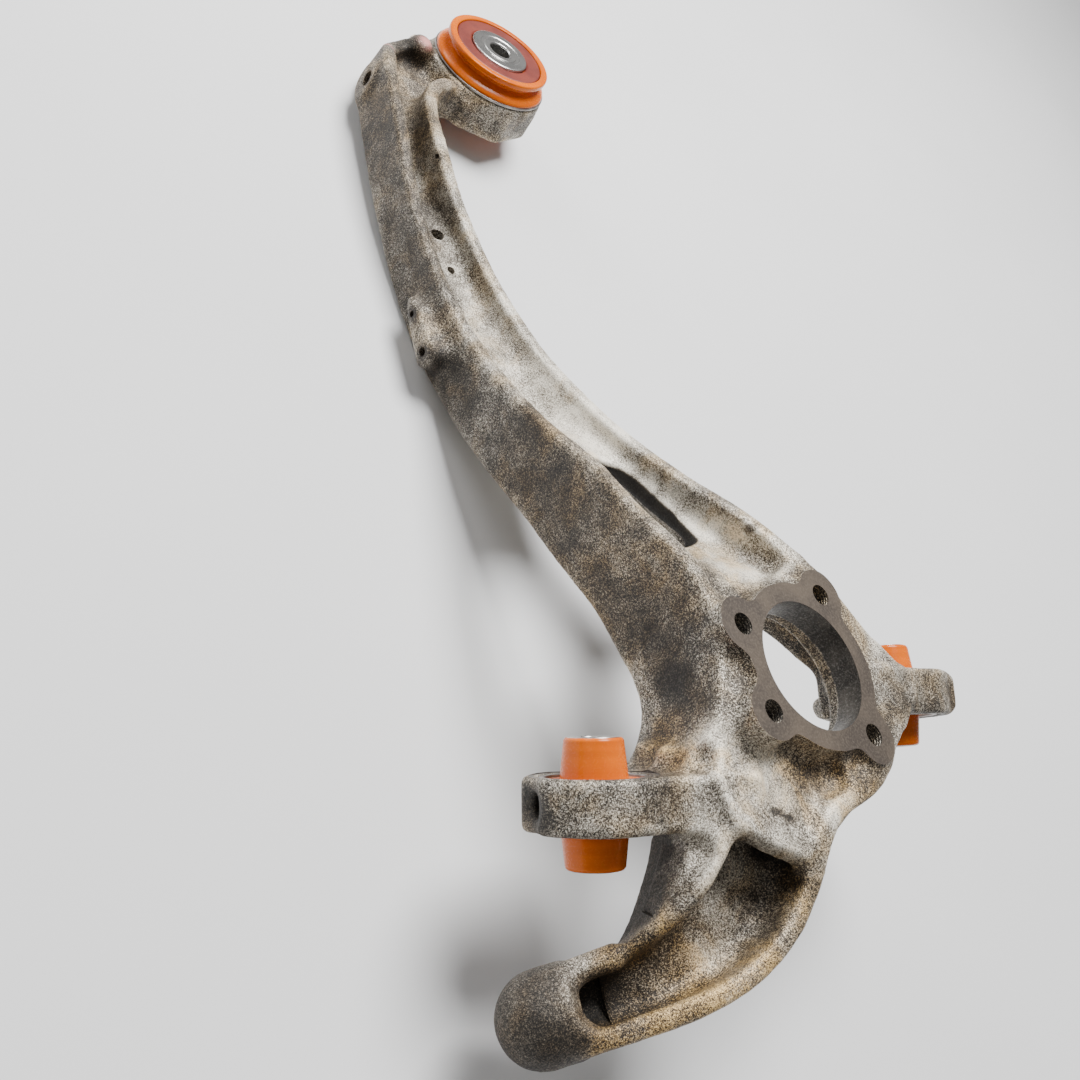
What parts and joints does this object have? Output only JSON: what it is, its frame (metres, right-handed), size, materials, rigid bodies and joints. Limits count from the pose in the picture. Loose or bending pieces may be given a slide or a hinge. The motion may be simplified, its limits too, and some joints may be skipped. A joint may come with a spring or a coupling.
{
  "type": "rear suspension control arm",
  "caption": "Cast aluminium rear suspension arm with a bored hub carrier, a damper horn, two link eyes and a front pivot eye, all with polyurethane bushes on steel sleeves.",
  "frame": {"origin": "centre of the hub bore on the outer machined flange face", "axes": "+Z along the hub axis, outward from the machined face; +X towards the front pivot bush; +Y towards the lower link eye and the damper horn"},
  "size_m": [0.6484, 0.2698, 0.14],
  "materials": {
    "cast_aluminium": "rough sand-cast, stained and oxidised",
    "bush_steel": "turned, bright",
    "polyurethane": "moulded, glossy",
    "thrust_ring": "satin"
  },
  "bodies": {
    "arm": {"arm_casting": "cast_aluminium", "front_bush_shell": "bush_steel", "front_bush_flanged_half": "polyurethane", "front_bush_plain_half": "polyurethane", "front_bush_thrust_ring": "thrust_ring", "lower_link_bush_shell": "bush_steel", "lower_link_bush_front_half": "polyurethane", "lower_link_bush_rear_half": "polyurethane", "upper_link_bush_shell": "bush_steel", "upper_link_bush_front_half": "polyurethane", "upper_link_bush_rear_half": "polyurethane"},
    "front_pivot": {"front_bush_sleeve": "bush_steel", "front_bush_outer_washer": "bush_steel", "front_bush_inner_washer": "bush_steel"},
    "lower_link_pivot": {"lower_link_bush_sleeve": "bush_steel"},
    "upper_link_pivot": {"upper_link_bush_sleeve": "bush_steel"}
  },
  "joints": [
    {"name": "front_pivot_turn", "type": "hinge", "parent": "arm", "child": "front_pivot", "pos_m": [0.46853, -0.00159, -0.1113], "axis": [0.146, 0.069, 0.9869], "continuous": true},
    {"name": "lower_link_pivot_turn", "type": "hinge", "parent": "arm", "child": "lower_link_pivot", "pos_m": [-0.0443, 0.0995, -0.0519], "axis": [0.9327, 0.0409, 0.3582], "continuous": true},
    {"name": "upper_link_pivot_turn", "type": "hinge", "parent": "arm", "child": "upper_link_pivot", "pos_m": [0.002, -0.1031, -0.036], "axis": [0.9648, 0.022, 0.2622], "continuous": true}
  ]
}
